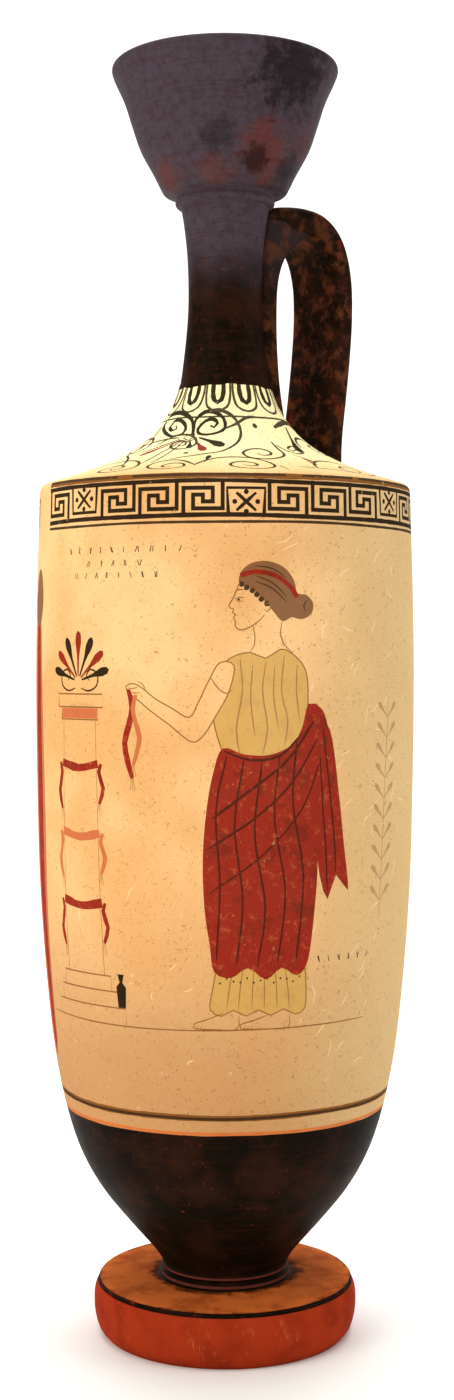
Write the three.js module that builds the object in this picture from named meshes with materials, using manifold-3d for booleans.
// Oil flask of fired clay: disc foot, tall tapering body, flat shoulder, slim neck,
// flared mouth and one strap handle, hollow throughout.
// Millimetres, +Z up. The origin is the centre of the underside. The handle lies towards +X.

import * as THREE from 'three';
import { mergeVertices } from 'three/addons/utils/BufferGeometryUtils.js';
import Module from 'manifold-3d';

// Turned vessel, driving sizes

const FOOT_HEIGHT = 16;
const FOOT_RADIUS = 38.5;
const STEM_HEIGHT = 4.6;
const STEM_RADIUS = 18.1;
const BODY_HEIGHT = 226;
const BODY_RADIUS = 55.6;
const SHOULDER_HEIGHT = 31.4;
const NECK_HEIGHT = 55.4;
const NECK_RADIUS = 10.8;
const MOUTH_HEIGHT = 37.8;
const MOUTH_RADIUS = 33.4;

// Walls

const BODY_WALL = 4.6;
const NECK_WALL = 3.9;
const FLOOR_THICKNESS = 8;
const LIP_FLAT = 0.8;

// Strap handle, driving sizes

const STRAP_WIDTH = 19;
const STRAP_THICKNESS = 7.4;
const STRAP_CORNER = 3.2;
const STRAP_REACH = 40.4;
const RIDGE_WIDTH = 13;
const RIDGE_DEPTH = 5.2;

// Resolution of the turned and swept surfaces

const TURN_SEGMENTS = 44;
const OUTER_DETAIL = 15;
const INNER_DETAIL = 9;
const STRAP_STEPS = 16;
const RIDGE_STEPS = 10;
const CORNER_STEPS = 2;
const ROUND_STEPS = 6;

// Heights that follow from the sizes above

const STEM_TOP = FOOT_HEIGHT + STEM_HEIGHT;
const SHOULDER_BOTTOM = STEM_TOP + BODY_HEIGHT;
const NECK_BOTTOM = SHOULDER_BOTTOM + SHOULDER_HEIGHT;
const MOUTH_BOTTOM = NECK_BOTTOM + NECK_HEIGHT;
const MOUTH_TOP = MOUTH_BOTTOM + MOUTH_HEIGHT;

// Outer outline. Each pair is a share of the zone's radius and a share of its height.

const FOOT_SIDE = [
  [0.922, 0], [0.964, 0.138], [0.992, 0.362], [1, 0.6], [0.994, 0.787],
  [0.974, 0.919],
];
const FOOT_TOP = [
  [0.958, 0.931], [0.966, 0.994], [0.919, 1.006], [0.514, 1.031],
];
const STEM_RINGS = [
  [1.033, 0.109], [1.047, 0.261], [1.028, 0.435], [0.989, 0.5], [0.989, 0.565],
  [1.022, 0.652], [1.028, 0.783], [1.006, 0.913],
];
const BODY_SIDE = [
  [0.326, 0], [0.376, 0.017], [0.516, 0.057], [0.653, 0.099], [0.759, 0.146],
  [0.835, 0.201], [0.897, 0.276], [0.942, 0.373], [0.977, 0.488], [0.992, 0.621],
  [1, 0.75], [0.995, 0.856], [0.984, 0.953], [0.98, 0.99],
];
const SHOULDER_EDGE = [
  [0.977, 0.997], [0.962, 1.003],
];
const SHOULDER_TOP = [
  [0.962, 0.019], [0.809, 0.099], [0.647, 0.21], [0.513, 0.331], [0.406, 0.471],
  [0.327, 0.637], [0.273, 0.809], [0.235, 1],
];
const NECK_SIDE = [
  [1.208, 0], [1.102, 0.162], [1.019, 0.343], [1, 0.505], [1.037, 0.686],
  [1.13, 0.848], [1.204, 0.924],
];
const NECK_COLLAR = [
  [1.333, 0.933], [1.361, 0.957], [1.333, 0.978],
];
const MOUTH_SIDE = [
  [0.527, 0], [0.557, 0.026], [0.635, 0.164], [0.746, 0.344], [0.82, 0.534],
  [0.886, 0.714], [0.973, 0.878], [1, 0.937],
];
const MOUTH_LIP = [
  [0.991, 0.979], [0.952, 1],
];

// Inner outline. The cup of the mouth runs down into the bore of the neck.

const CUP_SIDE = [
  [0.886, 0.958], [0.805, 0.757], [0.728, 0.566], [0.641, 0.381], [0.515, 0.206],
  [0.299, 0.048],
];

const place = (shares, radius, base, height) =>
  shares.map(([across, up]) => new THREE.Vector2(across * radius, base + up * height));

function turn(profile) {
  const turned = new THREE.LatheGeometry(profile, TURN_SEGMENTS);
  turned.rotateX(Math.PI / 2);
  return turned;
}

const smooth = (points, divisions) => new THREE.SplineCurve(points).getPoints(divisions);

// Moves each point of a rising outline towards the axis, square to the outline, by the wall.

function inset(points, wall) {
  return points.map((point, index) => {
    const before = points[Math.max(index - 1, 0)];
    const after = points[Math.min(index + 1, points.length - 1)];
    const along = after.clone().sub(before).normalize();
    return new THREE.Vector2(point.x - along.y * wall, point.y + along.x * wall);
  });
}

// The detail is the number of spans on the body. The other zones follow in proportion.

function vesselOutline(detail) {
  const spans = (share) => Math.ceil(detail * share);
  const smoothZone = (shares, radius, base, height, share) =>
    smooth(place(shares, radius, base, height), spans(share));
  return {
    footSide: smoothZone(FOOT_SIDE, FOOT_RADIUS, 0, FOOT_HEIGHT, 0.4),
    footTop: place(FOOT_TOP, FOOT_RADIUS, 0, FOOT_HEIGHT),
    rings: place(STEM_RINGS, STEM_RADIUS, FOOT_HEIGHT, STEM_HEIGHT),
    body: smoothZone(BODY_SIDE, BODY_RADIUS, STEM_TOP, BODY_HEIGHT, 1),
    edge: place(SHOULDER_EDGE, BODY_RADIUS, STEM_TOP, BODY_HEIGHT),
    shoulder: smoothZone(SHOULDER_TOP, BODY_RADIUS, SHOULDER_BOTTOM, SHOULDER_HEIGHT, 0.5),
    neck: smoothZone(NECK_SIDE, NECK_RADIUS, NECK_BOTTOM, NECK_HEIGHT, 0.4),
    collar: place(NECK_COLLAR, NECK_RADIUS, NECK_BOTTOM, NECK_HEIGHT),
    mouth: smoothZone(MOUTH_SIDE, MOUTH_RADIUS, MOUTH_BOTTOM, MOUTH_HEIGHT, 0.5),
    lip: place(MOUTH_LIP, MOUTH_RADIUS, MOUTH_BOTTOM, MOUTH_HEIGHT),
  };
}

function cavityOutline() {
  const outer = vesselOutline(INNER_DETAIL);
  const floor = STEM_TOP + FLOOR_THICKNESS;
  const side = inset(outer.body, BODY_WALL).filter(
    (point) => point.y > floor + BODY_WALL && point.y < SHOULDER_BOTTOM - BODY_WALL * 2,
  );
  const top = inset(outer.shoulder, BODY_WALL).filter(
    (point) => point.x < BODY_RADIUS - BODY_WALL * 2 && point.x > NECK_RADIUS,
  );
  const corner = new THREE.Vector2(BODY_RADIUS - BODY_WALL * 1.5, SHOULDER_BOTTOM - BODY_WALL);
  const bore = inset(outer.neck, NECK_WALL).filter(
    (point) => point.y > NECK_BOTTOM + NECK_WALL && point.y < MOUTH_BOTTOM - NECK_WALL,
  );
  return [
    ...place(CUP_SIDE, MOUTH_RADIUS, MOUTH_BOTTOM, MOUTH_HEIGHT),
    ...bore.reverse(),
    ...top.reverse(),
    corner,
    ...side.reverse(),
    new THREE.Vector2(side.at(-1).x * 0.55, floor + BODY_WALL * 0.25),
    new THREE.Vector2(0, floor),
  ];
}

function vesselGeometry() {
  const outer = vesselOutline(OUTER_DETAIL);
  const profile = [
    new THREE.Vector2(0, 0),
    ...outer.footSide,
    ...outer.footTop,
    ...outer.rings,
    ...outer.body,
    ...outer.edge,
    ...outer.shoulder.slice(1),
    ...outer.neck.slice(1),
    ...outer.collar,
    ...outer.mouth,
    ...outer.lip,
    new THREE.Vector2(0, MOUTH_TOP),
  ];
  return turn(profile);
}

// The hollow runs from the floor of the body up through the neck and out above the rim.

function cavityGeometry() {
  const above = MOUTH_TOP + LIP_FLAT;
  const brim = new THREE.Vector2(MOUTH_RADIUS - BODY_WALL + LIP_FLAT * 2, above);
  return turn([...cavityOutline().reverse(), brim, new THREE.Vector2(0, above)]);
}

// The strap leaves the neck under the mouth, bends down and stands on the shoulder.

function strapPath() {
  const crest = MOUTH_BOTTOM - STRAP_THICKNESS * 0.68;
  const drop = crest - SHOULDER_BOTTOM;
  const stations = [
    [0.24, 0.97], [0.42, 0.996], [0.62, 1], [0.79, 0.98], [0.92, 0.91], [0.99, 0.8], [1, 0.66],
    [0.975, 0.51], [0.935, 0.36], [0.895, 0.22], [0.885, 0.11], [0.9, 0.045],
  ];
  const points = stations.map(
    ([out, up]) => new THREE.Vector3(out * STRAP_REACH, 0, SHOULDER_BOTTOM + up * drop),
  );
  return new THREE.CatmullRomCurve3(points);
}

function strapSection() {
  const section = new THREE.Shape();
  const flat = STRAP_WIDTH / 2 - STRAP_CORNER;
  const side = STRAP_THICKNESS / 2 - STRAP_CORNER;
  section.absarc(flat, side, STRAP_CORNER, 0, Math.PI / 2, false);
  section.absarc(-flat, side, STRAP_CORNER, Math.PI / 2, Math.PI, false);
  section.absarc(-flat, -side, STRAP_CORNER, Math.PI, Math.PI * 1.5, false);
  section.absarc(flat, -side, STRAP_CORNER, Math.PI * 1.5, Math.PI * 2, false);
  return section;
}

const sweep = (section, path, steps, curveSegments) =>
  new THREE.ExtrudeGeometry(section, { steps, curveSegments, extrudePath: path });

// A low ridge of clay runs from the handle's root down the back of the neck.

function ridgePath() {
  const centre = NECK_RADIUS + RIDGE_DEPTH - RIDGE_WIDTH / 2;
  const foot = NECK_BOTTOM - SHOULDER_HEIGHT * 0.3;
  return new THREE.CatmullRomCurve3([
    new THREE.Vector3(STRAP_REACH * 0.7, 0, MOUTH_BOTTOM - STRAP_THICKNESS),
    new THREE.Vector3(STRAP_REACH * 0.42, 0, MOUTH_BOTTOM - STRAP_THICKNESS * 1.7),
    new THREE.Vector3(centre * 1.15, 0, MOUTH_BOTTOM - NECK_HEIGHT * 0.45),
    new THREE.Vector3(centre, 0, NECK_BOTTOM + NECK_HEIGHT * 0.3),
    new THREE.Vector3(centre * 1.2, 0, NECK_BOTTOM),
    new THREE.Vector3(centre * 1.6, 0, foot),
  ]);
}

function ridgeSection() {
  const section = new THREE.Shape();
  section.absarc(0, 0, RIDGE_WIDTH / 2, 0, Math.PI * 2, false);
  return section;
}

const wasm = await Module();
wasm.setup();

function toSolid(geometry) {
  const bare = geometry.clone();
  bare.deleteAttribute('normal');
  bare.deleteAttribute('uv');
  const merged = mergeVertices(bare);
  const corners = merged.index.array;
  const kept = [];
  for (let first = 0; first < corners.length; first += 3) {
    const [a, b, c] = corners.slice(first, first + 3);
    if (a !== b && b !== c && c !== a) {
      kept.push(a, b, c);
    }
  }
  return new wasm.Manifold(new wasm.Mesh({
    numProp: 3,
    vertProperties: new Float32Array(merged.attributes.position.array),
    triVerts: new Uint32Array(kept),
  }));
}

function toGeometry(solid) {
  const mesh = solid.getMesh();
  const geometry = new THREE.BufferGeometry();
  geometry.setAttribute('position', new THREE.BufferAttribute(mesh.vertProperties, 3));
  geometry.setIndex(new THREE.BufferAttribute(mesh.triVerts, 1));
  geometry.computeVertexNormals();
  return geometry;
}

// The hollow is taken out last, so that the handle's roots end in the wall.

function flaskSolid() {
  const strap = toSolid(sweep(strapSection(), strapPath(), STRAP_STEPS, CORNER_STEPS));
  const ridge = toSolid(sweep(ridgeSection(), ridgePath(), RIDGE_STEPS, ROUND_STEPS));
  const filled = toSolid(vesselGeometry()).add(strap).add(ridge);
  return filled.subtract(toSolid(cavityGeometry()));
}

const clay = new THREE.MeshStandardMaterial({ color: 0xd8bd92, roughness: 0.55 });
const flask = new THREE.Mesh(toGeometry(flaskSolid()), clay);
flask.name = 'flask';

const part = new THREE.Group();
part.name = 'oil_flask';
part.add(flask);

export default part;
